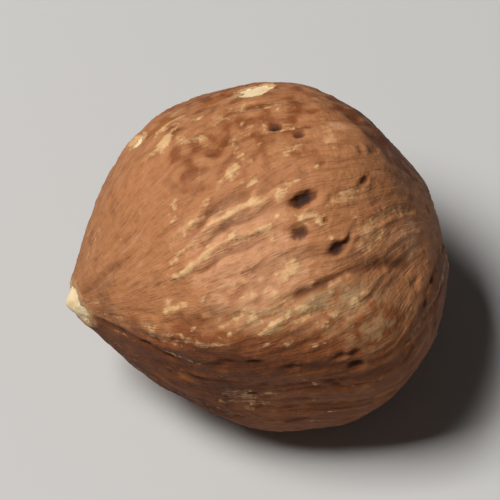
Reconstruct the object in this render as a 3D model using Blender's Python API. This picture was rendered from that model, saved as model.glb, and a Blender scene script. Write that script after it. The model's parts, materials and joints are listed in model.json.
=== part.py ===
"""One hazelnut kernel out of its shell, whole and in its brown skin.

It lies on its side as a dropped kernel comes to rest: the pointed tip looks along -X, the
broad base along +X, and a small flat spot under its weight sits on the surface.
The kernel grew in one piece, so it is one solid: a rounded body with the flats that the
shell pressed into it, a long ridge between two of them, a cone running out to the tip, ribs
fanning back from the tip under the skin, a few creases, the scar at the base, and the blunt
root point at the very end.
Blender units are metres, +Z is up, and the origin is under the kernel on the surface.
"""

import math

import bmesh
import bpy
from mathutils import Vector, noise

MM = 0.001

# Driving dimensions, over everything
KERNEL_LENGTH = 14.3 * MM
KERNEL_WIDTH = 13.6 * MM
KERNEL_HEIGHT = 12.6 * MM
REST_CUT = 0.22 * MM

# The rounded body before anything is pressed into it, measured from its middle
REACH_TO_BASE = 7.05 * MM
REACH_TO_TIP = 8.6 * MM
REACH_ACROSS = 7.0 * MM
REACH_UP = 6.45 * MM

# The cone: how far its apex is from the middle, its half angle, which is steepest on the
# far side and shallowest on the near side, and how its flanks swell on the way to their end
CONE_APEX = 7.3 * MM
CONE_HALF_ANGLE = math.radians(56.0)
CONE_ANGLE_SWING = math.radians(4.5)
CONE_BULGE = 0.10 * MM
CONE_END = math.radians(44.0)
CONE_OPEN = math.radians(150.0)
FAR_SIDE = math.radians(61.0)

# Flats pressed by the shell: how far each leans from the base's direction, where it stands
# round the axis (0 is up, 90 is away from the viewer's side), and its distance from the middle
FLATS = (
    (112, 61, 6.75 * MM),
    (76, 61, 6.80 * MM),
    (37, 61, 6.50 * MM),
    (16, 30, 6.90 * MM),
    (122, 241, 5.95 * MM),
    (87, 241, 6.90 * MM),
    (42, 241, 6.85 * MM),
    (12, 241, 7.10 * MM),
    (113, -29, 5.90 * MM),
    (80, -29, 6.25 * MM),
    (36, -29, 6.50 * MM),
    (98, 15, 6.35 * MM),
    (112, 150, 5.95 * MM),
    (78, 150, 6.25 * MM),
    (40, 120, 6.60 * MM),
    (92, 192, 6.15 * MM),
)
FLAT_BLEND = 1.9 * MM

# The flats that meet in the long ridge low on the near side, which is less rounded, and the
# one that carries the ridge on down the cone to the tip, less rounded still. A flat presses
# only where the surface looks its way by more than FLAT_REACH
RIDGE_FLATS = (
    (99, -45, 5.98 * MM),
    (104, -93, 5.32 * MM),
)
RIDGE_BLEND = 1.1 * MM
CONE_FLATS = ((138.5, -94, 5.46 * MM),)
CONE_FLAT_BLEND = 0.3 * MM
FLAT_REACH = 0.2

# Ribs over the skin's veins, fanning back from the tip: how many fit round, about, and how
# quickly they run into each other along the way
RIBS_ROUND = 25
RIB_MERGING = 0.7
RIB_HEIGHT = 0.11 * MM
RIB_START = math.radians(9.0)
RIB_FADE_AT_TIP = math.radians(42.0)
RIB_FADE_AT_BASE = math.radians(70.0)

# Wide shallow unevenness of the whole body
LUMP_SIZE = 4.2 * MM
LUMP_HEIGHT = 0.16 * MM
LUMP_SHIFT = Vector((3.7, 1.9, 8.3))

# Creases: where each runs round the axis, how far along from the tip it starts and ends,
# how wide it is and how deep
CREASES = (
    (-15, 3, 52, 0.9 * MM, 0.16 * MM),
    (-46, 82, 152, 1.7 * MM, 0.19 * MM),
    (116, 10, 112, 1.3 * MM, 0.34 * MM),
    (212, 34, 128, 1.5 * MM, 0.22 * MM),
)
CREASE_SWERVE = math.radians(7.0)
CREASE_WAVES = 2.5
CREASE_FADE = math.radians(22.0)

# The root point at the tip, and the round scar at the base where the stalk fed the kernel:
# its dish runs from flat to full height over BASE_SCAR_DISH, in shares of its radius
ROOT_POINT_RADIUS = 0.50 * MM
ROOT_POINT_HEIGHT = 0.14 * MM
BASE_SCAR_RADIUS = 1.8 * MM
BASE_SCAR_DEPTH = 0.14 * MM
BASE_SCAR_DISH = (0.1, 1.2)
BASE_SCAR_RIM = 0.04 * MM
BASE_SCAR_RIM_PLACE = 1.1
BASE_SCAR_RIM_WIDTH = 0.2

# The mesh: points round the axis, rings from tip to base, and how the rings crowd the tip
POINTS_ROUND = 104
RINGS = 38
TIP_CROWDING = 1.22

SKIN_COLOUR = (0.42, 0.205, 0.092, 1.0)
SKIN_ROUGHNESS = 0.55


def soft_min(a, b, blend):
    """The smaller of two distances, with the corner between them rounded."""
    near = max(blend - abs(a - b), 0.0) / blend
    return min(a, b) - near * near * blend / 4


def smooth(start, end, value):
    """0 before start, 1 after end, and a smooth rise between."""
    t = min(max((value - start) / (end - start), 0.0), 1.0)
    return t * t * (3 - 2 * t)


def direction(lean, clock):
    """The unit direction that leans from +X, towards the given place round the axis."""
    return Vector(
        (
            math.cos(lean),
            math.sin(lean) * math.sin(clock),
            math.sin(lean) * math.cos(clock),
        )
    )


def body_reach(way):
    """How far the plain rounded body reaches along a direction."""
    along = REACH_TO_BASE if way.x > 0 else REACH_TO_TIP
    return 1 / math.sqrt(
        (way.x / along) ** 2 + (way.y / REACH_ACROSS) ** 2 + (way.z / REACH_UP) ** 2
    )


def cone_reach(from_tip, clock):
    """How far the cone at the tip lets the body reach, or None where it doesn't touch it."""
    half = CONE_HALF_ANGLE + CONE_ANGLE_SWING * math.cos(clock - FAR_SIDE)
    if from_tip + half > CONE_OPEN:
        return None
    swell = CONE_BULGE * math.sin(math.pi * min(from_tip / CONE_END, 1.0))
    return CONE_APEX * math.sin(half) / math.sin(half + from_tip) + swell


def turn_between(a, b):
    """The signed angle from b to a round the axis, between -pi and pi."""
    return (a - b + math.pi) % (2 * math.pi) - math.pi


def press_flats(reach, way, flats, blend):
    """The reach along a direction once the flats that look that way have cut into it."""
    for lean, place, distance in flats:
        facing = way.dot(direction(math.radians(lean), math.radians(place)))
        if facing > FLAT_REACH:
            reach = soft_min(reach, distance / facing, blend)
    return reach


def rib_height(from_tip, clock):
    """The raised veins: uneven ribs along the kernel, faded at the tip and the base."""
    round_axis = Vector((math.cos(clock), math.sin(clock), 0.0)) * (RIBS_ROUND / math.pi)
    vein = noise.noise(round_axis + Vector((0.0, 0.0, RIB_MERGING * from_tip)))
    fade = smooth(RIB_START, RIB_START + RIB_FADE_AT_TIP, from_tip)
    fade *= smooth(RIB_START, RIB_START + RIB_FADE_AT_BASE, math.pi - from_tip)
    return RIB_HEIGHT * fade * vein


def crease_depth(from_tip, clock, reach):
    """The narrow furrows that run back from the tip."""
    depth = 0.0
    for place, start, end, width, deep in CREASES:
        middle = math.radians(place) + CREASE_SWERVE * math.sin(CREASE_WAVES * from_tip)
        aside = turn_between(clock, middle) * math.sin(from_tip) * reach
        fade = smooth(math.radians(start), math.radians(start) + CREASE_FADE, from_tip)
        fade *= 1 - smooth(math.radians(end) - CREASE_FADE, math.radians(end), from_tip)
        depth += deep * fade * math.exp(-((aside / (width / 2)) ** 2))
    return depth


def root_point(from_tip, reach):
    """The blunt root point standing out of the cone's apex."""
    aside = from_tip * reach
    return ROOT_POINT_HEIGHT * math.exp(-((aside / ROOT_POINT_RADIUS) ** 4))


def base_scar(from_tip, reach):
    """The shallow round scar in the base, with its low rim."""
    aside = (math.pi - from_tip) * reach / BASE_SCAR_RADIUS
    dish = BASE_SCAR_DEPTH * (1 - smooth(*BASE_SCAR_DISH, aside))
    from_rim = (aside - BASE_SCAR_RIM_PLACE) / BASE_SCAR_RIM_WIDTH
    return BASE_SCAR_RIM * math.exp(-(from_rim**2)) - dish


def surface_point(from_tip, clock):
    """The point of the kernel's surface at an angle from the tip and a place round the axis."""
    way = direction(math.pi - from_tip, clock)
    reach = body_reach(way)
    reach = press_flats(reach, way, FLATS, FLAT_BLEND)
    cone = cone_reach(from_tip, clock)
    if cone is not None:
        reach = soft_min(reach, cone, FLAT_BLEND)
    reach = press_flats(reach, way, RIDGE_FLATS, RIDGE_BLEND)
    reach = press_flats(reach, way, CONE_FLATS, CONE_FLAT_BLEND)
    away_from_poles = math.sin(from_tip)
    lump = noise.noise(way * (reach / LUMP_SIZE) + LUMP_SHIFT)
    relief = LUMP_HEIGHT * lump + rib_height(from_tip, clock)
    relief += root_point(from_tip, reach) + base_scar(from_tip, reach)
    relief -= crease_depth(from_tip, clock, reach) * away_from_poles
    return way * (reach + relief)


def move_to_surface(mesh):
    """Moves a unit sphere's points, whose poles are on Z, to the kernel's surface."""
    for vertex in mesh.verts:
        x, y, z = vertex.co.normalized()
        share = math.acos(max(-1.0, min(1.0, z))) / math.pi
        vertex.co = surface_point(math.pi * share**TIP_CROWDING, math.atan2(y, x))


def cut_rest_spot(mesh):
    """Cuts the small flat spot that the kernel stands on, under its lowest point."""
    floor = min(vertex.co.z for vertex in mesh.verts) + REST_CUT
    cut = bmesh.ops.bisect_plane(
        mesh,
        geom=mesh.verts[:] + mesh.edges[:] + mesh.faces[:],
        plane_co=(0, 0, floor),
        plane_no=(0, 0, -1),
        clear_outer=True,
    )
    rim = [item for item in cut["geom_cut"] if isinstance(item, bmesh.types.BMEdge)]
    bmesh.ops.contextual_create(mesh, geom=rim)


def fit_to_size(mesh):
    """Brings the solid to its driving dimensions and stands it over the origin."""
    points = [vertex.co for vertex in mesh.verts]
    low = Vector(min(point[axis] for point in points) for axis in range(3))
    high = Vector(max(point[axis] for point in points) for axis in range(3))
    size = Vector((KERNEL_LENGTH, KERNEL_WIDTH, KERNEL_HEIGHT))
    middle = (low + high) / 2
    for point in points:
        for axis in range(3):
            share = (point[axis] - middle[axis]) / (high[axis] - low[axis])
            point[axis] = share * size[axis]
        point.z += KERNEL_HEIGHT / 2


def skin_material():
    """The brown, faintly satin skin."""
    material = bpy.data.materials.new("kernel_skin")
    material.use_nodes = True
    shader = material.node_tree.nodes["Principled BSDF"]
    shader.inputs["Base Color"].default_value = SKIN_COLOUR
    shader.inputs["Roughness"].default_value = SKIN_ROUGHNESS
    shader.inputs["Metallic"].default_value = 0.0
    material.diffuse_color = SKIN_COLOUR
    return material


def make_kernel():
    """The whole kernel as one closed solid."""
    mesh = bmesh.new()
    bmesh.ops.create_uvsphere(
        mesh, u_segments=POINTS_ROUND, v_segments=RINGS, radius=1.0
    )
    move_to_surface(mesh)
    cut_rest_spot(mesh)
    fit_to_size(mesh)
    bmesh.ops.recalc_face_normals(mesh, faces=mesh.faces[:])
    data = bpy.data.meshes.new("kernel")
    mesh.to_mesh(data)
    mesh.free()
    data.shade_smooth()
    data.materials.append(skin_material())
    kernel = bpy.data.objects.new("kernel", data)
    bpy.context.scene.collection.objects.link(kernel)
    return kernel


def main():
    for old in list(bpy.data.objects):
        bpy.data.objects.remove(old, do_unlink=True)
    make_kernel()


main()
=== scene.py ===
"""The looks of one shelled hazelnut kernel in its brown skin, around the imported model.

The kernel's solid comes from the frame. Here its skin is made as a fine mesh over that solid,
with the veins, wrinkles, pits and chips of the real skin, and a stage is set round it.
"""

import json
import math
import random

import bpy
import numpy as np
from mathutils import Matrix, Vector, noise

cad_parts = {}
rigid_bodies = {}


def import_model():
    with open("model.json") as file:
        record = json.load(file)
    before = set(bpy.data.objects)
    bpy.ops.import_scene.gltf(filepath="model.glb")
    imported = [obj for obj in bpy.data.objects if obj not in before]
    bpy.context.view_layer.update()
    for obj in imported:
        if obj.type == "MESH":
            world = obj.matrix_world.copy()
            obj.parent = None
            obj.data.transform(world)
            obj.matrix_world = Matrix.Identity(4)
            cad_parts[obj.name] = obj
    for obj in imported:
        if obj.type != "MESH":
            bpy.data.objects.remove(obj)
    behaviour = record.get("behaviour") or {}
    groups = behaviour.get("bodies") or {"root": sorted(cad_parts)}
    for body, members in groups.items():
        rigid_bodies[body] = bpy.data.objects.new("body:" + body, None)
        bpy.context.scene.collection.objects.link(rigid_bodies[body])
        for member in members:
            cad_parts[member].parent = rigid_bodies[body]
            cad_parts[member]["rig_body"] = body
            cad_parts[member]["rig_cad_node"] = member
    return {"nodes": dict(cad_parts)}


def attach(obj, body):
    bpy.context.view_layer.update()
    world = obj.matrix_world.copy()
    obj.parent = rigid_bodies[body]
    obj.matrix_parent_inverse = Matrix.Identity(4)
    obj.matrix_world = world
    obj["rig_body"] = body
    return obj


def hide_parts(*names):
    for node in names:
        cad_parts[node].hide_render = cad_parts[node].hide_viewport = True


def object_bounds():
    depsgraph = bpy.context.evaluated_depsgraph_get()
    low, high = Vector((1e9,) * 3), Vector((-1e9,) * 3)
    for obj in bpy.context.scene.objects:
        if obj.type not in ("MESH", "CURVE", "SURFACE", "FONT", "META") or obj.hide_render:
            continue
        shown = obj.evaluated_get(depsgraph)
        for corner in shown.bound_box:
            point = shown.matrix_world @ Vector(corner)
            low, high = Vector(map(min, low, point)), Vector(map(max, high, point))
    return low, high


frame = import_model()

bl_info = {
    "name": "Hazelnut kernel",
    "version": (1, 0, 0),
    "blender": (4, 5, 0),
    "location": "3D View > Sidebar > Hazelnut",
    "description": "Makes the skin of a hazelnut kernel over its solid, and a stage for it",
    "category": "Add Mesh",
}

MM = 0.001
CAD_LOW, CAD_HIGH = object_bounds()

# The kernel's axis runs through its tip along X; this is how far along it the middle lies
MIDDLE_SHARE = 0.519
SKIN_RADIUS = 6.7

# Corners of the solid that lie this close are one, and its facets are halved this many times
WELD = 0.001 * MM
HALVINGS = 2

# Places on the kernel are in degrees: from the tip (0) to the base (180), and round the axis,
# where 0 is up and positive turns away from the viewer. Sizes there are in millimetres.

# Strands that stand out of the skin, pale partly as a painted highlight: the places they run
# through, width, height, paleness
STRANDS = (
    (((46, -30), (54, -27.5), (65, -22.8), (75, -18.8), (94, -18.8)), 0.36, 0.115, 0.60),
    (((50, -20.5), (60, -17.2), (69, -12.5), (79, -10.8), (98, -9)), 0.36, 0.100, 0.54),
    (((55, -15), (64, -9.5), (72, -3), (85, 5)), 0.34, 0.080, 0.46),
    (((48, -24), (60, -21.5), (70, -17.2), (88, -14.8)), 0.26, 0.030, 0.30),
    (((38, -12), (50, -4), (62, 5), (74, 14)), 0.34, 0.030, 0.15),
    (((30, 10), (56, 21), (82, 32)), 0.34, 0.030, 0.15),
    (((46, -38), (70, -36), (92, -33)), 0.36, 0.040, 0.25),
    (((62, -43), (95, -47.5), (124, -49)), 0.44, 0.055, 0.40),
    (((60, -50), (84, -51.5), (104, -51)), 0.42, 0.050, 0.38),
    (((30, -56), (52, -58), (78, -57)), 0.40, 0.040, 0.30),
    (((88, 20), (112, 27), (130, 30)), 0.34, 0.035, 0.20),
)

# Furrows between them, painted in shade: the places they run through, width, depth, darkness of
# the painted shade
FURROWS = (
    (((6, -20), (14, -16), (23, -10.8), (35, -7)), 0.52, 0.040, 0.34),
    (((57, -29), (66, -27), (74, -24.3), (83, -22.8), (93, -23.2)), 0.28, 0.085, 0.38),
    (((53, -24), (62, -21.3), (70, -16.8), (77, -14.3), (91, -14.3)), 0.26, 0.075, 0.36),
    (((55, -17.8), (66, -12), (73, -7), (80, -4.8), (90, -4.4)), 0.26, 0.065, 0.34),
    (((58, -8), (68, 1), (77, 6.5)), 0.26, 0.050, 0.28),
    (
        ((87, -45), (95, -43.5), (102, -41.7), (111, -38.8), (122, -39.5), (143, -46)),
        0.56,
        0.100,
        0.50,
    ),
    (((109, -31.5), (113, -28.7), (116, -24.5), (119, -20)), 0.24, 0.040, 0.26),
    (((112, 28), (121, 22.5), (128, 17), (140, 8)), 1.10, 0.080, 0.16),
    (((6, -66), (20, -70.5), (30, -72), (41, -76), (56, -77)), 0.36, 0.060, 0.55),
    (((56, -70), (72, -67), (88, -70), (106, -68)), 0.55, 0.050, 0.40),
    (((78, -60.5), (89, -56), (101, -53.5)), 0.32, 0.050, 0.35),
)

# Pits: from the tip, round, length, width, turn off the strands' line, depth
PITS = (
    (101.8, -12.2, 1.30, 0.62, 12, 0.28),
    (98.4, -22.8, 0.84, 0.72, 0, 0.15),
    (107.3, -20.6, 0.30, 0.26, 0, 0.12),
    (109.2, -30.8, 0.86, 0.54, 24, 0.16),
    (113.2, -28.6, 0.66, 0.32, 60, 0.12),
    (122.5, -8.2, 0.86, 0.34, 38, 0.12),
    (112, -2.7, 1.05, 0.26, -6, 0.05),
    (123, 3.3, 0.42, 0.34, 0, 0.08),
    (111.6, 6.5, 0.34, 0.30, 0, 0.05),
    (105.5, 10.8, 0.62, 0.40, 20, 0.14),
    (108.8, 14.0, 0.52, 0.40, -20, 0.10),
    (99.5, 17, 0.60, 0.50, -10, 0.16),
    (125, 21, 0.80, 0.46, 0, 0.09),
    (64.4, 40.4, 0.70, 0.60, 0, 0.12),
    (128.5, 5, 0.70, 0.40, 20, 0.08),
    (88, -4, 0.50, 0.24, 14, 0.04),
    (91, 6, 0.42, 0.24, 30, 0.04),
    (21, -70.7, 0.42, 0.24, 0, 0.07),
    (31, -72, 0.66, 0.30, 0, 0.12),
    (41, -75.8, 0.50, 0.28, 0, 0.09),
    (66, -67, 0.80, 0.30, 0, 0.09),
    (76, -66.5, 0.80, 0.28, 0, 0.11),
    (87.7, -70, 0.58, 0.44, 20, 0.10),
    (103.3, -66.4, 0.60, 0.38, 10, 0.12),
    (108, -72, 0.64, 0.54, 0, 0.17),
    (102, -82.5, 1.00, 0.42, -50, 0.10),
    (78.4, -81.4, 0.50, 0.40, 0, 0.07),
    (136, -54, 0.60, 0.50, 0, 0.07),
)

# Pale dashes, partly worn skin and partly a painted highlight on raised crests: from the tip,
# round, length, width, turn, paleness
DASHES = (
    (54, -27.5, 0.80, 0.36, 18, 0.40),
    (58.8, -25, 0.74, 0.42, 18, 0.68),
    (66, -22.7, 0.70, 0.42, 18, 0.68),
    (75.3, -18.8, 0.96, 0.44, 16, 0.72),
    (87, -18.7, 0.92, 0.42, 2, 0.68),
    (62.5, -16.7, 0.70, 0.32, 14, 0.42),
    (69, -12.5, 0.70, 0.34, 20, 0.46),
    (78, -10.6, 0.84, 0.40, 12, 0.64),
    (86.2, -9.2, 0.62, 0.48, 10, 0.68),
    (95, -8.8, 0.66, 0.50, 40, 0.76),
    (71, -4.2, 0.70, 0.32, 36, 0.44),
    (82, 3.2, 0.98, 0.62, 42, 0.62),
    (100.4, 5.4, 0.62, 0.50, 40, 0.60),
    (105, 1.5, 0.44, 0.40, 0, 0.44),
    (114, 10, 2.30, 0.80, 84, 0.34),
    (106.2, -20.6, 0.62, 0.56, 0, 0.56),
    (107.4, -26.2, 0.50, 0.40, 0, 0.44),
    (123, -29, 2.20, 1.60, 60, 0.40),
    (72, -36.5, 0.56, 0.40, 20, 0.46),
    (68.5, -41, 0.56, 0.40, 0, 0.44),
    (77, -41, 0.90, 0.46, 10, 0.52),
    (77.2, -47.5, 0.70, 0.52, 0, 0.54),
    (84, -52, 1.10, 0.56, 30, 0.60),
    (95, -47.5, 0.62, 0.50, 0, 0.74),
    (104.4, -52, 0.70, 0.48, 20, 0.44),
    (111.6, -50.2, 0.90, 0.52, 0, 0.58),
    (93, -34, 1.10, 0.90, 30, 0.56),
    (46, -43, 1.10, 0.80, 20, 0.50),
    (36, -54, 1.00, 0.80, 0, 0.40),
    (58, -58, 0.80, 0.60, 0, 0.42),
    (65.4, 27.4, 1.00, 0.62, 36, 0.95),
    (94.1, -47.5, 0.60, 0.46, 20, 0.86),
    (83.5, -51.8, 0.56, 0.40, 20, 0.74),
    (77.5, 32.8, 1.00, 0.40, 20, 0.56),
    (85, 34.4, 0.70, 0.36, 30, 0.48),
    (131.5, -61.5, 0.70, 0.60, 0, 0.40),
    (24, 16, 2.60, 0.60, 25, 0.34),
)

# Small pale flecks: from the tip, how far that spreads, round, how far that spreads, count
FLECKS = (
    (86, 17, -46, 7, 60),
    (84, 24, 6, 24, 50),
    (100, 30, 180, 80, 40),
)

# Rusty hollows, where a scale of skin has come away: from the tip, round, length, width, turn
HOLLOWS = (
    (65.0, 41.8, 1.50, 0.80, -6),
    (84, 43, 0.90, 0.50, 4),
    (91, 45.5, 0.80, 0.40, 20),
    (46, -90, 0.90, 0.50, 0),
    (78, -117, 2.20, 0.55, 0),
    (117, -98, 1.20, 0.60, 30),
    (125, -76, 0.90, 0.45, 50),
    (127, 110, 1.60, 0.80, 10),
    (72, 140, 1.30, 0.60, -10),
)

# Chips out of the skin that bare the flesh: from the tip, round, length, width, turn
CHIPS = (
    (97.6, 41.2, 1.25, 1.10, 6),
    (57.0, 51, 1.90, 0.80, 86),
    (118, 150, 1.50, 0.70, -20),
    (70, -138, 1.05, 0.50, 15),
    (141, -100, 0.70, 0.45, 60),
)

# How raised a dash is, how deep a rusty hollow, and how high a pit's rim in shares of its depth
DASH_HEIGHT = 0.03
HOLLOW_DEPTH = 0.07
PIT_RIM = 0.12

# How ragged the outlines are: the amount, size and shift of each noise that is laid on them
DASH_RAGGED = ((0.30, 0.30, 97.0), (0.22, 0.15, 5.0))
PIT_RAGGED = ((0.26, 0.26, 41.0), (0.16, 0.12, 19.0))
CHIP_RAGGED = ((0.45, 0.40, 53.0), (0.25, 0.16, 2.0))

# What falls by chance, between a least and a greatest value: the flecks, then the small pits.
# Slimness is width to length, and steepness is depth to size
FLECK_DRAW = 11
FLECK_LENGTH = (0.20, 0.48)
FLECK_SLIMNESS = (0.5, 0.9)
FLECK_TURN = (-20, 60)
FLECK_PALENESS = (0.25, 0.6)
PIT_DRAW = 20
PIT_COUNT = 46
PIT_SIZE = (0.22, 0.60)
PIT_SLIMNESS = (0.45, 0.9)
PIT_TURN = (-40, 40)
PIT_STEEPNESS = (0.12, 0.26)
PITS_FROM_TIP = (25, 165)

# The bare root tip: how far its collar lies from the tip, how ragged it is, and how much
# further it lies on one side of the axis
COLLAR = 0.72
COLLAR_RAGGED = 0.14
COLLAR_LEAN = 0.20
COLLAR_LEANS_TO = math.radians(-45)

# The scar in the base: its radius, how ragged that is, its depth, its rim and its roughness
SCAR_RADIUS = 1.7
SCAR_RAGGED = 0.25
SCAR_DEPTH = 0.05
SCAR_RIM = 0.05
SCAR_ROUGH = 0.035

# The relief fades out towards the floor between these heights
FADED_BELOW, FULL_ABOVE = 0.02, 0.30

# The lower edge of the kernel's upper side, below which painted shade darkens the skin: from the
# tip, round
LOW_EDGE = (
    (0, -76),
    (18, -75),
    (25, -73),
    (33, -70),
    (42, -67),
    (50, -63),
    (58, -61),
    (77, -62),
    (89, -62),
    (100, -61),
    (125, -57),
    (180, -52),
)

# The far edge of its upper side, beyond which painted shade darkens the skin: round, from the tip
FAR_EDGE = (
    (-60, 120),
    (-42, 126),
    (-28, 148),
    (-8, 136),
    (6, 126),
    (24, 122),
    (45, 114),
    (70, 106),
)

# Broad patches of painted light and shade, lighter or darker: from the tip, its spread, round,
# its spread, how much
PAINTED_LIGHT_AND_SHADE = (
    (134, 12, -68, 15, 0.45),
    (140, 10, -34, 12, 0.90),
    (134, 7, -57, 6, 0.55),
    (117, 6, -29, 6, 0.30),
    (116, 7, 11, 9, 0.80),
    (78, 9, 34, 8, 0.35),
    (76, 7, -8, 6, 0.25),
    (52, 9, -57, 7, -0.75),
    (76, 10, -53, 5, -0.50),
    (91, 9, -56, 4, -0.35),
    (29, 9, -50, 10, -0.35),
    (97, 4, -17, 5, -0.50),
)

# Dusty patches low on the near side: from the tip, its spread, round, its spread, how much
DUSTY = (
    (84, 10, -48, 5, 0.9),
    (106, 13, -47, 5, 1.0),
    (116, 14, -60, 9, 0.7),
    (66, 9, -47, 6, 0.4),
)

# The finish's own grains: how fine, how many octaves, how rough
WIDE_GRAIN = (330.0, 2.0, 0.55)
PATCH_GRAIN = (900.0, 3.0, 0.55)
MOTTLE_GRAIN = (2100.0, 2.0, 0.6)
SPECK_GRAIN = (3800.0, 3.0, 0.6)

# Its fibres: how fine across them, twice, and along them, then octaves and roughness
THREADS = ((34.0, 34.0, 0.9), 3.0, 0.6)
HAIRS = ((90.0, 90.0, 1.8), 2.0, 0.6)
GRAIN_RELIEF = 0.08 * MM
SKIN_SPECULAR = 0.15

# The lights: the way that each shines from, how far it stands off, its size
KEY_LIGHT = ((-0.408, 0.017, 0.913), 0.30, 0.10)
FILL_LIGHT = ((0.7, -0.5, 0.5), 0.35, 0.25)
FLOOR_SIZE = 4.0
FLOOR_ROUGHNESS = 0.8
NEAREST_SEEN = 0.01


class SkinSettings(bpy.types.PropertyGroup):
    """The skin's relief and colours."""

    cell: bpy.props.FloatProperty(
        name="Cell",
        description="The spacing of the fine mesh",
        default=0.1 * MM,
        min=0.1 * MM,
        unit="LENGTH",
        precision=6,
    )
    strands: bpy.props.IntProperty(
        name="Strands",
        description="How many main strands lie round the kernel",
        default=15,
        min=3,
    )
    strand_height: bpy.props.FloatProperty(
        name="Strand height",
        description="How far the main strands stand out",
        default=0.075 * MM,
        unit="LENGTH",
        precision=6,
    )
    fibre_height: bpy.props.FloatProperty(
        name="Fibre height",
        description="How far the fine fibres stand out",
        default=0.026 * MM,
        unit="LENGTH",
        precision=6,
    )
    wrinkle_height: bpy.props.FloatProperty(
        name="Wrinkle height",
        description="How high the papery wrinkles are",
        default=0.040 * MM,
        unit="LENGTH",
        precision=6,
    )
    skin_thickness: bpy.props.FloatProperty(
        name="Skin thickness",
        description="How deep the flesh lies below the skin in a chip",
        default=0.09 * MM,
        unit="LENGTH",
        precision=6,
    )
    brown: bpy.props.FloatVectorProperty(
        name="Brown",
        description="The skin's main colour",
        default=(0.230, 0.071, 0.022),
        subtype="COLOR",
        size=3,
    )
    # Tan is painted light on the lit upper side, as well as lighter tone
    tan: bpy.props.FloatVectorProperty(
        name="Tan",
        description="The warmer, lighter colour of its upper side",
        default=(0.415, 0.171, 0.068),
        subtype="COLOR",
        size=3,
    )
    # Fawn is painted light in the middle of the upper side and on a few patches, as well as the
    # palest tone
    fawn: bpy.props.FloatVectorProperty(
        name="Fawn",
        description="The palest skin, in the middle of its upper side",
        default=(0.600, 0.295, 0.148),
        subtype="COLOR",
        size=3,
    )
    # Umber is painted shade in the hollows of the relief and on the low side, as well as darker
    # patches and fibres
    umber: bpy.props.FloatVectorProperty(
        name="Umber",
        description="The colour in furrows and on the darker patches",
        default=(0.104, 0.032, 0.012),
        subtype="COLOR",
        size=3,
    )
    rust: bpy.props.FloatVectorProperty(
        name="Rust",
        description="The colour in the hollows where a scale of skin has come away",
        default=(0.300, 0.105, 0.028),
        subtype="COLOR",
        size=3,
    )
    straw: bpy.props.FloatVectorProperty(
        name="Straw",
        description="The colour of the strands and flecks that stand out",
        default=(0.660, 0.405, 0.190),
        subtype="COLOR",
        size=3,
    )
    dust: bpy.props.FloatVectorProperty(
        name="Dust",
        description="The greyish olive bloom low on the near side",
        default=(0.345, 0.235, 0.118),
        subtype="COLOR",
        size=3,
    )
    soot: bpy.props.FloatVectorProperty(
        name="Soot",
        description="The colour at the bottom of a pit",
        default=(0.040, 0.019, 0.013),
        subtype="COLOR",
        size=3,
    )
    cream: bpy.props.FloatVectorProperty(
        name="Cream",
        description="The flesh's colour, at the root tip and in the chips",
        default=(0.830, 0.655, 0.400),
        subtype="COLOR",
        size=3,
    )


class StageSettings(bpy.types.PropertyGroup):
    """The camera, the lights and the floor."""

    azimuth: bpy.props.FloatProperty(
        name="Azimuth",
        description="The camera's place round the kernel",
        default=math.radians(-14.0),
        subtype="ANGLE",
    )
    elevation: bpy.props.FloatProperty(
        name="Elevation",
        description="How far above the horizon the camera stands",
        default=math.radians(59.0),
        subtype="ANGLE",
    )
    framed: bpy.props.FloatProperty(
        name="Framed width",
        description="The width of the camera's view at the kernel",
        default=18.6 * MM,
        unit="LENGTH",
        precision=4,
    )
    lens: bpy.props.FloatProperty(
        name="Lens",
        description="The camera's focal length in millimetres",
        default=400.0,
    )
    key_power: bpy.props.FloatProperty(
        name="Key light",
        description="The power of the main light, high on the left",
        default=1.15,
        unit="POWER",
    )
    fill_power: bpy.props.FloatProperty(
        name="Fill light",
        description="The power of the weak light opposite",
        default=0.02,
        unit="POWER",
    )
    sky: bpy.props.FloatProperty(
        name="Sky",
        description="The strength of the light from all round",
        default=0.04,
    )
    floor_colour: bpy.props.FloatVectorProperty(
        name="Floor",
        description="The floor's colour",
        default=(0.50, 0.49, 0.47),
        subtype="COLOR",
        size=3,
    )


def smooth(start, end, value):
    """0 before start, 1 after end, and a smooth rise between, for arrays too."""
    t = np.clip((value - start) / (end - start), 0.0, 1.0)
    return t * t * (3 - 2 * t)


def turn_between(a, b):
    """The signed angle from b to a round the axis, between -pi and pi."""
    return (a - b + np.pi) % (2 * np.pi) - np.pi


def bell(value, middle, width):
    """1 where the value is at the middle, falling softly to 0 on both sides."""
    return np.exp(-(((value - middle) / width) ** 2))


def ridged(values, sharpness):
    """Narrow ridges, 1 high, where soft noise crosses 0."""
    return np.clip(1 - sharpness * np.abs(values), 0, 1)


def noise_at(points):
    """Blender's own soft noise at many points, from about -1 to 1."""
    return np.array([noise.noise(point) for point in points.tolist()])


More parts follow.
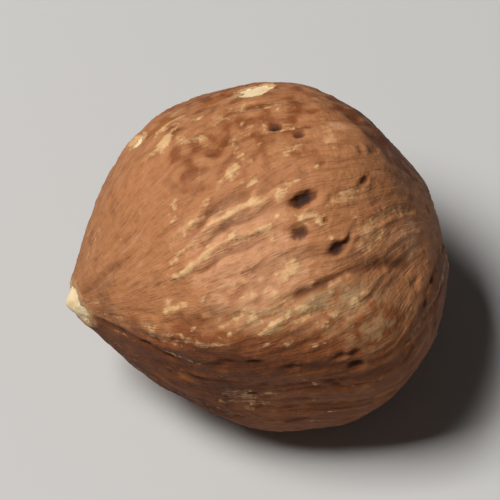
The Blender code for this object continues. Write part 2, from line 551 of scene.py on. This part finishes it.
class Skin:
    """Where each point of the skin lies, and what has been made of it so far."""

    def __init__(self, points, tip):
        self.points = points / MM
        middle = np.array(
            [CAD_LOW.x + MIDDLE_SHARE * (CAD_HIGH.x - CAD_LOW.x), tip[1], tip[2]]
        )
        self.away = self.points - middle / MM
        self.reach = np.linalg.norm(self.away, axis=1)
        self.from_tip = np.arccos(np.clip(-self.away[:, 0] / self.reach, -1, 1))
        self.round = np.arctan2(self.away[:, 1], self.away[:, 2])
        self.height = np.zeros(len(points))
        self.pale = np.zeros(len(points))
        self.dark = np.zeros(len(points))
        self.rusty = np.zeros(len(points))
        self.bare = np.full(len(points), -1.0)

    def grain(self, size, shift):
        """Soft noise, size mm from crest to crest, about. Each shift gives another pattern."""
        return noise_at(self.away / size + shift)

    def ragged(self, parts):
        """How far a ragged outline strays at each point: noises of an amount, size and shift."""
        return sum(amount * self.grain(size, shift) for amount, size, shift in parts)

    def ring_noise(self, along):
        """Soft noise round the axis, which changes along it as the given values do."""
        return noise_at(np.stack([2 * np.cos(self.round), 2 * np.sin(self.round), along], axis=1))

    def wavy_round(self):
        """The place round the axis, drifting and wavering as the fibres do."""
        wide = self.grain(4.0, 11.0)
        near = self.grain(1.3, 23.0)
        drift = 0.21 * (self.from_tip - 1.2)
        return self.round + 0.08 * wide + 0.022 * near - drift

    def along_fibres(self, turn, count, run):
        """Points in which noise makes fibres: count of them round, each 1 / run mm long."""
        ring = count / math.pi
        return np.stack(
            [ring * np.cos(turn), ring * np.sin(turn), run * SKIN_RADIUS * self.from_tip],
            axis=1,
        )

    def fibre_noise(self, turn, count, run, shift=0.0):
        """Soft noise drawn out along the fibres. Each shift gives another pattern."""
        return noise_at(self.along_fibres(turn, count, run) + shift)

    def darken(self, amount):
        """Makes points at least so dark."""
        self.dark = np.maximum(self.dark, amount)

    def whiten(self, amount):
        """Makes points at least so pale."""
        self.pale = np.maximum(self.pale, amount)

    def aside(self, from_tip, clock):
        """Distances from a place on the skin, along the fibres and across them, in mm."""
        along = (self.from_tip - from_tip) * self.reach
        across = turn_between(self.round, clock) * math.sin(from_tip) * self.reach
        return along, across

    def oval(self, place, length, width, turn):
        """How far each point lies from an oval's middle: 1 on its edge."""
        along, across = self.aside(math.radians(place[0]), math.radians(place[1]))
        c, s = math.cos(math.radians(turn)), math.sin(math.radians(turn))
        u = (along * c + across * s) / (length / 2)
        v = (across * c - along * s) / (width / 2)
        here = np.abs(turn_between(self.round, math.radians(place[1]))) < math.pi / 2
        return np.where(here, np.hypot(u, v), 99.0)

    def patches(self, places):
        """Soft patches laid over each other, each strongest in its middle."""
        from_tip, clock = np.degrees(self.from_tip), np.degrees(self.round)
        total = np.zeros(len(self.points))
        for at, at_spread, place, place_spread, much in places:
            off = ((from_tip - at) / at_spread) ** 2 + ((clock - place) / place_spread) ** 2
            total += much * np.exp(-off)
        return total

    def line(self, course, width):
        """How strongly each point lies on a line through places on the skin, from 0 to 1."""
        stations, clocks = zip(*course)
        from_tip = np.degrees(self.from_tip)
        share = (from_tip - stations[0]) / (stations[-1] - stations[0])
        turn = np.radians(np.interp(from_tip, stations, clocks))
        turn = turn + 0.010 * np.sin(14 * share + clocks[0])
        across = turn_between(self.round, turn) * np.sin(self.from_tip) * self.reach
        ends = smooth(0.0, 0.16, share) * (1 - smooth(0.80, 1.0, share))
        return ends * bell(across, 0, width / 2)


def raise_fibres(skin, settings):
    """The main strands and the fine fibres, which fan out from the tip and meet at the base."""
    turn = skin.wavy_round()
    off_poles = smooth(0.20, 0.80, np.sin(skin.from_tip))
    off_poles = off_poles * (1 - 0.35 * smooth(1.75, 2.20, skin.from_tip))
    strands = skin.fibre_noise(turn, settings.strands, 0.10)
    second = skin.fibre_noise(turn, 1.9 * settings.strands, 0.17, 9.0)
    fibres = skin.fibre_noise(turn, 4.2 * settings.strands, 0.35, 5.0)
    crest = ridged(strands, 5.0) ** 1.3
    low_crest = ridged(second, 4.0) ** 1.3
    fine = ridged(fibres, 2.6)
    present = smooth(-0.10, 0.40, skin.grain(1.9, 31.0))
    dashes = smooth(0.05, 0.30, skin.fibre_noise(turn, 12, 0.9, 37.0))
    raised = crest * (0.35 + 0.65 * present) + 0.5 * low_crest
    skin.height += settings.strand_height / MM * raised * off_poles
    skin.height += settings.fibre_height / MM * (fine - 0.4) * (0.35 + 0.65 * off_poles)
    # Pale on the crests: paler fibres, partly a painted highlight where the raised fibres catch
    # the light
    skin.whiten(0.62 * crest * present * dashes * off_poles)
    skin.whiten(0.42 * low_crest * present * dashes * off_poles)
    skin.whiten(0.20 * fine**2)
    valleys = smooth(0.14, 0.40, np.abs(strands)) * smooth(0.10, 0.30, np.abs(second))
    skin.height -= 0.45 * settings.strand_height / MM * valleys * off_poles
    # Painted shade in the valleys between the strands
    skin.darken(0.28 * valleys * off_poles)
    return turn


def raise_wrinkles(skin, turn, settings):
    """Papery wrinkles that mostly run with the fibres, and low wide dents."""
    wrinkle = settings.wrinkle_height / MM
    fine = skin.grain(0.42, 3.0)
    mid = skin.grain(0.95, 7.0)
    wide = skin.grain(2.6, 13.0)
    skin.height += wrinkle * (0.5 * fine + 0.7 * mid + 1.1 * wide)
    here = smooth(0.0, 0.3, skin.grain(1.5, 71.0))
    fold = here * bell(skin.fibre_noise(turn, 9, 0.22, 17.0), 0, 0.035)
    skin.height -= 1.2 * wrinkle * fold
    # Painted shade in the folds
    skin.darken(0.24 * fold)
    skin.pale *= 1 - fold


def lift_scales(skin, turn, settings):
    """Thin scales of skin that have come away in slivers along the fibres."""
    torn = skin.fibre_noise(turn, 22, 0.30, 83.0) + 0.10 * skin.grain(0.22, 89.0)
    gone = smooth(0.34, 0.40, torn)
    edge = bell(torn, 0.32, 0.03)
    skin.height += 0.35 * settings.skin_thickness / MM * (0.6 * edge - gone)
    skin.whiten(0.34 * gone)


def lay_strands(skin, turn):
    """The strands and furrows that stand out most, one by one."""
    broken = smooth(-0.45, 0.05, skin.fibre_noise(turn, 12, 0.75, 43.0))
    for course, width, high, paleness in STRANDS:
        on = skin.line(course, width)
        skin.height += high * on * (0.65 + 0.35 * broken)
        # Paleness along each strand, partly a painted highlight on its raised crest
        skin.whiten(paleness * on * (0.4 + 0.6 * broken))
    for course, width, deep, painted_shade in FURROWS:
        on = skin.line(course, width)
        skin.height -= deep * on
        # Painted shade along each furrow
        skin.darken(painted_shade * on)
        skin.pale *= 1 - on


def chance_flecks():
    """Small pale flecks, thickest low on the near side, the same on each run."""
    draw = random.Random(FLECK_DRAW)
    flecks = []
    for at, at_spread, clock, clock_spread, count in FLECKS:
        for _ in range(count):
            length = draw.uniform(*FLECK_LENGTH)
            width = length * draw.uniform(*FLECK_SLIMNESS)
            place = (draw.gauss(at, at_spread), draw.gauss(clock, clock_spread))
            turn = draw.uniform(*FLECK_TURN)
            flecks.append((*place, length, width, turn, draw.uniform(*FLECK_PALENESS)))
    return flecks


def lay_dashes(skin):
    """The pale dashes, a little raised, and the rusty hollows."""
    ragged = skin.ragged(DASH_RAGGED)
    for from_tip, clock, length, width, turn, paleness in list(DASHES) + chance_flecks():
        edge = skin.oval((from_tip, clock), length, width, turn)
        on = 1 - smooth(0.25, 1.40, edge + ragged * (edge < 3))
        skin.height += DASH_HEIGHT * on
        # Paleness, partly a painted highlight on the raised dash
        skin.whiten(paleness * on)
        skin.dark *= 1 - 0.8 * on
    for from_tip, clock, length, width, turn in HOLLOWS:
        edge = skin.oval((from_tip, clock), length, width, turn)
        on = 1 - smooth(0.60, 1.10, edge + ragged * (edge < 3))
        skin.height -= HOLLOW_DEPTH * on
        skin.rusty = np.maximum(skin.rusty, on)
        skin.pale *= 1 - on


def chance_pits():
    """Small pits and dents scattered over the whole kernel, the same on each run."""
    draw = random.Random(PIT_DRAW)
    nearest, furthest = PITS_FROM_TIP
    pits = []
    while len(pits) < PIT_COUNT:
        from_tip = math.degrees(math.acos(1 - 2 * draw.random()))
        clock = draw.uniform(-180, 180)
        size = draw.uniform(*PIT_SIZE)
        width = size * draw.uniform(*PIT_SLIMNESS)
        turn = draw.uniform(*PIT_TURN)
        deep = size * draw.uniform(*PIT_STEEPNESS)
        if nearest < from_tip < furthest:
            pits.append((from_tip, clock, size, width, turn, deep))
    return pits


def press_pits(skin):
    """The pits, each a ragged bowl with a low rim."""
    ragged = skin.ragged(PIT_RAGGED)
    for from_tip, clock, length, width, turn, deep in list(PITS) + chance_pits():
        edge = skin.oval((from_tip, clock), length, width, turn)
        edge = edge + ragged * (edge < 2)
        bowl = 1 - smooth(0.25, 1.15, edge)
        skin.height += PIT_RIM * deep * bell(edge, 1.35, 0.3) - deep * bowl
        skin.darken(smooth(0.02, 0.2, deep) * bowl)
        skin.pale *= 1 - bowl


def break_chips(skin, settings):
    """Chips out of the skin down to the flesh, with the skin's torn edge a little lifted."""
    deep = settings.skin_thickness / MM
    ragged = skin.ragged(CHIP_RAGGED)
    for from_tip, clock, length, width, turn in CHIPS:
        edge = skin.oval((from_tip, clock), length, width, turn)
        edge = edge + ragged * (edge < 3)
        skin.bare = np.maximum(skin.bare, 1 - edge)
        skin.height -= deep * (1 - smooth(0.85, 1.1, edge))
        skin.height += 0.5 * deep * bell(edge, 1.25, 0.16)


def bare_root_tip(skin, settings):
    """The root tip that stands out of the skin, inside a ragged collar of it."""
    along = skin.from_tip * skin.reach
    collar = COLLAR + COLLAR_RAGGED * skin.ring_noise(along)
    collar = collar + COLLAR_LEAN * np.cos(skin.round - COLLAR_LEANS_TO)
    edge = along / collar
    deep = 0.8 * settings.skin_thickness / MM
    skin.bare = np.maximum(skin.bare, 1 - edge)
    skin.height -= deep * (1 - smooth(0.85, 1.15, edge))
    skin.height += 0.4 * deep * bell(edge, 1.3, 0.2)
    skin.dark *= smooth(0.7, 1.2, edge)


def dish_base_scar(skin):
    """The round scar in the base, rough and crossed by the ends of the fibres."""
    along = (math.pi - skin.from_tip) * skin.reach
    edge = along / (SCAR_RADIUS + SCAR_RAGGED * skin.ring_noise(0 * along + 3.0))
    inside = 1 - smooth(0.75, 1.05, edge)
    rim = bell(edge, 1.05, 0.13)
    rough = skin.grain(0.26, 61.0)
    skin.height += SCAR_RIM * rim + inside * (SCAR_ROUGH * rough - SCAR_DEPTH)
    skin.whiten(0.45 * rim + 0.25 * inside * (rough > 0.1))
    skin.darken(0.35 * inside)


def paint_light_and_tone(skin, turn):
    """Painted light and shade with the skin's tone: 1 on its lit upper side, 0 round the back, -1
    in the darkest painted shade.
    """
    clock = np.degrees(skin.round) + 2 * skin.grain(0.9, 47.0)
    from_tip = np.degrees(skin.from_tip)
    above = clock - np.interp(from_tip, *zip(*LOW_EDGE))
    beyond = from_tip - np.interp(clock, *zip(*FAR_EDGE))
    shelving = 10 + 18 * (1 - smooth(50, 78, from_tip))
    face = smooth(0, shelving, above) * (1 - smooth(75, 125, clock))
    far_end = smooth(-7, 9, beyond)
    top = smooth(-8, 18, clock) * smooth(54, 72, from_tip)
    middle = smooth(48, 70, from_tip) * (1 - smooth(88, 108, from_tip))
    middle = middle * smooth(-58, -34, clock) * (1 - smooth(-14, -2, clock))
    low_side = smooth(4, -3, above) * smooth(-165, -130, clock)
    near_tip = low_side * (1 - smooth(56, 84, from_tip))
    under_edge = bell(above, -8, 6) * smooth(15, 30, from_tip)
    under_edge = under_edge * (1 - smooth(100, 120, from_tip))
    blotches = skin.fibre_noise(turn, 52, 1.8, 67.0)
    mottled = 0.40 + 0.80 * top * (1 - smooth(48, 72, clock))
    # The upper side is painted lighter as the lit face, and its middle lighter still. Its top,
    # far end, low side, the tip's low side and the band under its lower edge are painted darker
    # as shade.
    painted_light_and_tone = 0.3 + 0.7 * face * (1 - 0.36 * far_end) - 0.42 * face * top + 0.75 * middle
    painted_light_and_tone = painted_light_and_tone - 0.25 * low_side - 0.7 * near_tip - 0.45 * under_edge
    # The patches add painted light and shade. The blotches are the skin's own random tone.
    return painted_light_and_tone + skin.patches(PAINTED_LIGHT_AND_SHADE) + mottled * blotches


def select_only(obj):
    """Selects one object and makes it the one that operators work on."""
    bpy.ops.object.select_all(action="DESELECT")
    obj.select_set(True)
    bpy.context.view_layer.objects.active = obj


def copy_of(obj, name):
    """A copy of an object with a mesh of its own, standing alone."""
    select_only(obj)
    bpy.ops.object.duplicate()
    copy = bpy.context.active_object
    copy.parent = None
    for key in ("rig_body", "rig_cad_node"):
        if key in copy:
            del copy[key]
    copy.name = name
    copy.data.name = name
    return copy


def use_modifier(obj, kind, **settings):
    """Adds a modifier with its settings and applies it."""
    select_only(obj)
    modifier = obj.modifiers.new(kind.lower(), kind)
    for key, value in settings.items():
        setattr(modifier, key, value)
    bpy.ops.object.modifier_apply(modifier=modifier.name)


def rounded_form(node, name):
    """The node's faceted solid as a smooth closed mesh."""
    form = copy_of(node, name)
    bpy.ops.object.mode_set(mode="EDIT")
    bpy.ops.mesh.select_all(action="SELECT")
    bpy.ops.mesh.remove_doubles(threshold=WELD)
    bpy.ops.mesh.tris_convert_to_quads()
    bpy.ops.object.mode_set(mode="OBJECT")
    use_modifier(form, "SUBSURF", levels=HALVINGS, render_levels=HALVINGS)
    return form


def fine_mesh_over(form, name, cell):
    """An even, fine mesh that lies on a smooth form."""
    fine = copy_of(form, name)
    use_modifier(fine, "REMESH", mode="VOXEL", voxel_size=cell)
    use_modifier(fine, "SHRINKWRAP", target=form, wrap_method="NEAREST_SURFACEPOINT")
    select_only(fine)
    bpy.ops.object.shade_smooth()
    return fine


def read_points(mesh):
    values = np.zeros(3 * len(mesh.vertices))
    mesh.vertices.foreach_get("co", values)
    return values.reshape(-1, 3)


def read_normals(mesh):
    values = np.zeros(3 * len(mesh.vertices))
    mesh.vertex_normals.foreach_get("vector", values)
    return values.reshape(-1, 3)


def into_box(points):
    """Brings points back to exactly the box that the solid fills."""
    low, high = points.min(axis=0), points.max(axis=0)
    share = (points - low) / (high - low)
    return np.array(CAD_LOW) + share * (np.array(CAD_HIGH) - np.array(CAD_LOW))


def keep(mesh, name, values):
    """Stores one number for each point, for the material to read."""
    attribute = mesh.attributes.new(name, "FLOAT", "POINT")
    attribute.data.foreach_set("value", values.astype(np.float32))


def keep_vectors(mesh, name, values):
    """Stores a vector for each point, for the material to read."""
    attribute = mesh.attributes.new(name, "FLOAT_VECTOR", "POINT")
    attribute.data.foreach_set("vector", values.astype(np.float32).ravel())


def dress_skin(fine, settings):
    """Raises the skin's relief out of the fine mesh and notes what lies where."""
    mesh = fine.data
    points = read_points(mesh)
    skin = Skin(points, points[points[:, 0].argmin()])
    turn = raise_fibres(skin, settings)
    raise_wrinkles(skin, turn, settings)
    lift_scales(skin, turn, settings)
    lay_strands(skin, turn)
    lay_dashes(skin)
    press_pits(skin)
    dish_base_scar(skin)
    break_chips(skin, settings)
    bare_root_tip(skin, settings)
    off_floor = smooth(FADED_BELOW, FULL_ABOVE, points[:, 2] / MM)
    points = points + read_normals(mesh) * (skin.height * off_floor)[:, None] * MM
    mesh.vertices.foreach_set("co", into_box(points).ravel())
    mesh.update()
    keep(mesh, "relief", skin.height)
    # Paler marks, part of them a painted highlight on crests, strands and dashes
    keep(mesh, "pale", np.clip(skin.pale, 0, 1))
    # Darker marks: painted shade in valleys, folds and furrows, with the darker pits and base
    # scar
    keep(mesh, "dark", np.clip(skin.dark, 0, 1))
    keep(mesh, "bare", skin.bare)
    keep(mesh, "rusty", skin.rusty)
    # Painted light and shade over the skin's tone, for the material to read
    keep(mesh, "painted_light_and_tone", paint_light_and_tone(skin, turn))
    keep(mesh, "dusty", skin.patches(DUSTY))
    keep_vectors(mesh, "fibres", skin.along_fibres(turn, math.pi, 1.0))


class Value:
    """A shader socket on which the usual signs work: each adds its Math node."""

    def __init__(self, recipe, socket):
        self.recipe = recipe
        self.socket = socket

    def maths(self, operation, first, second):
        inputs = {0: first, 1: second}
        return self.recipe.add("ShaderNodeMath", {"operation": operation}, inputs)

    def __add__(self, other):
        return self.maths("ADD", self, other)

    def __radd__(self, other):
        return self.maths("ADD", other, self)

    def __sub__(self, other):
        return self.maths("SUBTRACT", self, other)

    def __rsub__(self, other):
        return self.maths("SUBTRACT", other, self)

    def __mul__(self, other):
        return self.maths("MULTIPLY", self, other)

    def __rmul__(self, other):
        return self.maths("MULTIPLY", other, self)


class Recipe:
    """A material in the making: its shader, and the nodes that feed it."""

    def __init__(self, name):
        self.material = bpy.data.materials.new(name)
        self.material.use_nodes = True
        self.tree = self.material.node_tree
        self.shader = self.tree.nodes["Principled BSDF"]

    def add(self, kind, settings=None, inputs=None, output=0):
        """Adds a node, sets it, feeds it with values or links, and gives one of its outputs."""
        node = self.tree.nodes.new(kind)
        for key, value in (settings or {}).items():
            setattr(node, key, value)
        for key, value in (inputs or {}).items():
            self.feed(node.inputs[key], value)
        return Value(self, node.outputs[output])

    def feed(self, socket, value):
        if isinstance(value, Value):
            self.tree.links.new(value.socket, socket)
        else:
            socket.default_value = value

    def attribute(self, name, output="Fac"):
        return self.add("ShaderNodeAttribute", {"attribute_name": name}, output=output)

    def place(self):
        return self.add("ShaderNodeTexCoord", output="Object")

    def stretch(self, vector, scale):
        inputs = {0: vector, 1: scale}
        return self.add("ShaderNodeVectorMath", {"operation": "MULTIPLY"}, inputs)

    def grain(self, vector, scale, detail, roughness):
        """Soft noise from 0 to 1."""
        inputs = {
            "Vector": vector,
            "Scale": scale,
            "Detail": detail,
            "Roughness": roughness,
        }
        return self.add("ShaderNodeTexNoise", inputs=inputs)

    def between(self, value, start, end):
        """0 below start, 1 above end, smooth between."""
        inputs = {"Value": value, "From Min": start, "From Max": end}
        settings = {"interpolation_type": "SMOOTHSTEP", "clamp": True}
        return self.add("ShaderNodeMapRange", settings, inputs)

    def blend(self, first, second, factor):
        """One colour over another."""
        settings = {"data_type": "RGBA", "clamp_factor": True}
        inputs = {0: factor, 6: first, 7: second}
        return self.add("ShaderNodeMix", settings, inputs, output=2)

    def bump(self, height, distance):
        return self.add("ShaderNodeBump", inputs={"Height": height, "Distance": distance})


def opaque(colour):
    return (*colour, 1.0)


def skin_finish(settings):
    """Brown papery skin: fibres, flecks and wrinkles over it, and cream flesh where bare."""
    mix = Recipe("kernel_skin_fine")
    place = mix.place()
    fibres = mix.attribute("fibres", "Vector")
    relief, pale, dark, bare, rusty, painted_light_and_tone, dusty = (
        mix.attribute(name)
        for name in ("relief", "pale", "dark", "bare", "rusty", "painted_light_and_tone", "dusty")
    )
    wide, patch, mottle, speck = (
        mix.grain(place, *grain)
        for grain in (WIDE_GRAIN, PATCH_GRAIN, MOTTLE_GRAIN, SPECK_GRAIN)
    )
    thread, hair = (
        mix.grain(mix.stretch(fibres, fineness), 1.0, octaves, roughness)
        for fineness, octaves, roughness in (THREADS, HAIRS)
    )

    # Painted light and shade from the mesh, with random tone laid over it
    tone_with_painted_light = painted_light_and_tone + 0.8 * (wide - 0.5) + 0.8 * (patch - 0.5) + 0.5 * (thread - 0.5)
    tone_with_painted_light = tone_with_painted_light + 1.3 * (mottle - 0.5)
    # Pale streaks, partly wear and partly a painted highlight on the crests
    wear_and_highlight = pale + 1.2 * (0.5 - thread) + 1.0 * (speck - 0.5)
    streak = mix.between(wear_and_highlight, 0.24, 0.78) * mix.between(pale, 0.06, 0.36)
    fleck = mix.between(speck + 0.35 * pale - 0.3 * dark, 0.68, 0.84)
    bloom = dusty * mix.between(mottle + 0.5 * thread, 0.60, 0.92)
    ragged = bare + 0.5 * speck - 0.25
    flesh = mix.between(ragged, 0.0, 0.10)
    straw_in_flesh = 0.45 * mix.between(patch, 0.45, 0.70)
    inside = mix.blend(opaque(settings.cream), opaque(settings.straw), straw_in_flesh)

    # Tan where the upper side is painted as lit, brown round the back
    colour = mix.blend(opaque(settings.brown), opaque(settings.tan), mix.between(tone_with_painted_light, 0.0, 1.0))
    for shade, strength, where in (
        # Fawn as painted light in the middle of the upper side, umber as painted shade on the low
        # side
        (settings.fawn, 0.8, mix.between(tone_with_painted_light, 1.05, 2.0)),
        (settings.umber, 0.9, mix.between(0.0 - tone_with_painted_light, -0.1, 1.0)),
        (settings.umber, 0.45, mix.between(patch, 0.54, 0.74)),
        (settings.umber, 0.34, mix.between(thread, 0.52, 0.72)),
        (settings.umber, 0.24, mix.between(hair, 0.50, 0.75)),
        # Painted shade in the hollows of the relief
        (settings.umber, 0.6, mix.between(0.0 - relief, 0.0, 0.16)),
        (settings.dust, 0.75, bloom),
        (settings.rust, 0.95, rusty),
        (settings.straw, 0.9, streak),
        (settings.straw, 0.5, fleck),
        # Umber and soot where the mesh is marked dark: painted shade in valleys, folds and
        # furrows, and the darker pits
        (settings.umber, 0.7, mix.between(dark, 0.10, 0.60)),
        (settings.soot, 1.0, mix.between(dark, 0.45, 1.0)),
        (settings.straw, 0.7, mix.between(ragged, -0.40, -0.04)),
    ):
        colour = mix.blend(colour, opaque(shade), strength * where)
    colour = mix.blend(colour, inside, flesh)
    mix.feed(mix.shader.inputs["Base Color"], colour)

    rough = 0.44 + 0.22 * patch + 0.10 * speck + 0.25 * dark - 0.10 * flesh
    mix.feed(mix.shader.inputs["Roughness"], rough)

    papery = 0.4 * hair + 0.4 * thread + 0.5 * speck + 0.8 * mottle
    fine = mix.bump(papery * (1.0 - 0.8 * flesh), GRAIN_RELIEF)
    mix.feed(mix.shader.inputs["Normal"], fine)
    mix.shader.inputs["Specular IOR Level"].default_value = SKIN_SPECULAR
    return mix.material


def floor_finish(colour):
    """Plain pale floor, matt."""
    mix = Recipe("floor_plain")
    mix.shader.inputs["Base Color"].default_value = opaque(colour)
    mix.shader.inputs["Roughness"].default_value = FLOOR_ROUGHNESS
    return mix.material


class NUT_OT_kernel(bpy.types.Operator):
    """Makes the kernel's skin as a fine mesh over its solid, and gives it its finish"""

    bl_idname = "nut.kernel"
    bl_label = "Kernel"

    def execute(self, context):
        settings = context.scene.nut_skin
        form = rounded_form(frame["nodes"]["kernel"], "kernel_form")
        kernel = fine_mesh_over(form, "kernel_in_skin", settings.cell)
        bpy.data.objects.remove(form, do_unlink=True)
        dress_skin(kernel, settings)
        kernel.data.materials.clear()
        kernel.data.materials.append(skin_finish(settings))
        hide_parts("kernel")
        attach(kernel, "root")
        return {"FINISHED"}


def add_area_light(name, towards, distance, size, power):
    """Adds an area light that shines at the kernel from a direction."""
    middle = (CAD_LOW + CAD_HIGH) / 2
    way = Vector(towards).normalized()
    bpy.ops.object.light_add(type="AREA", location=middle + way * distance)
    light = bpy.context.active_object
    light.name = name
    light.rotation_euler = way.to_track_quat("Z", "Y").to_euler()
    light.data.size = size
    light.data.energy = power


class NUT_OT_stage(bpy.types.Operator):
    """Sets the floor, the soft lights and the camera"""

    bl_idname = "nut.stage"
    bl_label = "Stage"

    def execute(self, context):
        settings = context.scene.nut_stage
        bpy.ops.object.select_all(action="DESELECT")
        bpy.ops.mesh.primitive_plane_add(size=FLOOR_SIZE, location=(0, 0, 0))
        floor = context.active_object
        floor.name = "floor"
        floor.data.materials.append(floor_finish(settings.floor_colour))
        add_area_light("key", *KEY_LIGHT, settings.key_power)
        add_area_light("fill", *FILL_LIGHT, settings.fill_power)
        world = bpy.data.worlds.new("studio")
        world.use_nodes = True
        sky = world.node_tree.nodes["Background"]
        sky.inputs["Color"].default_value = (1.0, 1.0, 1.0, 1.0)
        sky.inputs["Strength"].default_value = settings.sky
        context.scene.world = world
        context.scene.view_settings.view_transform = "Standard"
        self.add_camera(context, settings)
        return {"FINISHED"}

    def add_camera(self, context, settings):
        """The camera looks down on the kernel from the photograph's side."""
        a, e = settings.azimuth, settings.elevation
        back = Vector((math.sin(a) * math.cos(e), -math.cos(a) * math.cos(e), math.sin(e)))
        bpy.ops.object.camera_add()
        camera = context.active_object
        camera.name = "camera"
        camera.data.lens = settings.lens
        half_view = math.atan(camera.data.sensor_width / 2 / settings.lens)
        distance = settings.framed / 2 / math.tan(half_view)
        camera.data.clip_start = NEAREST_SEEN * distance
        camera.location = (CAD_LOW + CAD_HIGH) / 2 + back * distance
        camera.rotation_euler = back.to_track_quat("Z", "Y").to_euler()
        context.scene.camera = camera


class NUT_PT_panel(bpy.types.Panel):
    """Lists the pieces and the stage, with what can be changed about them"""

    bl_label = "Hazelnut kernel"
    bl_idname = "NUT_PT_panel"
    bl_space_type = "VIEW_3D"
    bl_region_type = "UI"
    bl_category = "Hazelnut"

    def draw(self, context):
        scene = context.scene
        for title, operator, group in (
            ("Kernel", "nut.kernel", scene.nut_skin),
            ("Stage", "nut.stage", scene.nut_stage),
        ):
            box = self.layout.box()
            box.label(text=title)
            for name in group.__annotations__:
                box.prop(group, name)
            box.operator(operator)


CLASSES = (SkinSettings, StageSettings, NUT_OT_kernel, NUT_OT_stage, NUT_PT_panel)


def register():
    for item in CLASSES:
        bpy.utils.register_class(item)
    bpy.types.Scene.nut_skin = bpy.props.PointerProperty(type=SkinSettings)
    bpy.types.Scene.nut_stage = bpy.props.PointerProperty(type=StageSettings)


def unregister():
    del bpy.types.Scene.nut_stage
    del bpy.types.Scene.nut_skin
    for item in reversed(CLASSES):
        bpy.utils.unregister_class(item)


def main():
    register()
    bpy.ops.nut.kernel()
    bpy.ops.nut.stage()


if __name__ == "__main__":
    main()
